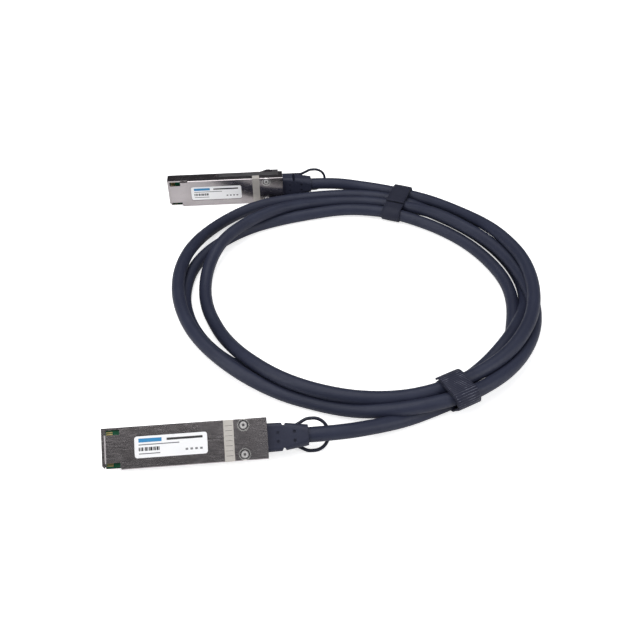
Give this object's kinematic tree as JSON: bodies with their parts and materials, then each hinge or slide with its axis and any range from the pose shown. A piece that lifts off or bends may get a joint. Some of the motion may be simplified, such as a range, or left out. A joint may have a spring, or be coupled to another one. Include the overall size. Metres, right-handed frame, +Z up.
{
  "type": "direct attach copper cable",
  "caption": "Coiled black twinax cable tied with hook-and-loop bands, a pluggable metal connector with label, screws, boot and sliding pull latch at each end.",
  "frame": {"origin": "on the surface that the cable lies on, under the middle of the box round the two connectors", "axes": "+Z up from the surface, +X from the connectors' noses towards the coil, +Y from the near connector to the far one"},
  "size_m": [0.2174, 0.2348, 0.0204],
  "materials": {
    "nickel_shell": "brushed nickel plating",
    "spring_steel": "satin spring steel",
    "latch_steel": "pressed stainless sheet",
    "screw_steel": "bright",
    "crimped_metal": "crimped tinned sleeve",
    "circuit_board": "solder mask",
    "gold_plating": "gold plated",
    "chip_resin": "moulded resin",
    "capacitor_body": "ceramic",
    "pair_insulation": "foil-wrapped pairs",
    "cable_jacket": "semi-gloss extruded jacket",
    "moulded_boot": "satin moulding",
    "pull_plastic": "satin moulding",
    "label_film": "satin printed film",
    "smooth_tie": "smooth tape",
    "woven_tie": "woven tape"
  },
  "bodies": {
    "assembly": {"far_base_shell": "nickel_shell", "far_cover": "nickel_shell", "far_emi_gasket": "spring_steel", "far_paddle_card": "circuit_board", "far_edge_contacts": "gold_plating", "far_memory_chip": "chip_resin", "far_capacitors": "capacitor_body", "far_wire_pairs": "pair_insulation", "far_shield_ferrule": "crimped_metal", "far_cable_end": "cable_jacket", "far_boot": "moulded_boot", "far_cover_screws": "screw_steel", "far_label": "label_film", "far_slider_springs": "spring_steel", "near_base_shell": "nickel_shell", "near_cover": "nickel_shell", "near_emi_gasket": "spring_steel", "near_paddle_card": "circuit_board", "near_edge_contacts": "gold_plating", "near_memory_chip": "chip_resin", "near_capacitors": "capacitor_body", "near_wire_pairs": "pair_insulation", "near_shield_ferrule": "crimped_metal", "near_cable_end": "cable_jacket", "near_boot": "moulded_boot", "near_cover_screws": "screw_steel", "near_label": "label_film", "near_slider_springs": "spring_steel", "cable_far_tail": "cable_jacket", "cable_coil": "cable_jacket", "cable_near_tail": "cable_jacket", "tie_back": "smooth_tie", "tie_front": "woven_tie"},
    "far_latch": {"far_latch_slider": "latch_steel", "far_pull_loop": "pull_plastic"},
    "near_latch": {"near_latch_slider": "latch_steel", "near_pull_loop": "pull_plastic"}
  },
  "joints": [
    {"name": "far_latch_pull", "type": "slide", "parent": "assembly", "child": "far_latch", "axis": [0.9966, 0.0819, 0], "range_m": [0, 0.0022], "stiffness_N_per_m": 400, "springref_m": -0.001, "deforming": ["far_slider_springs"]},
    {"name": "near_latch_pull", "type": "slide", "parent": "assembly", "child": "near_latch", "axis": [0.9956, 0.0941, 0], "range_m": [0, 0.0022], "stiffness_N_per_m": 400, "springref_m": -0.001, "deforming": ["near_slider_springs"]}
  ]
}
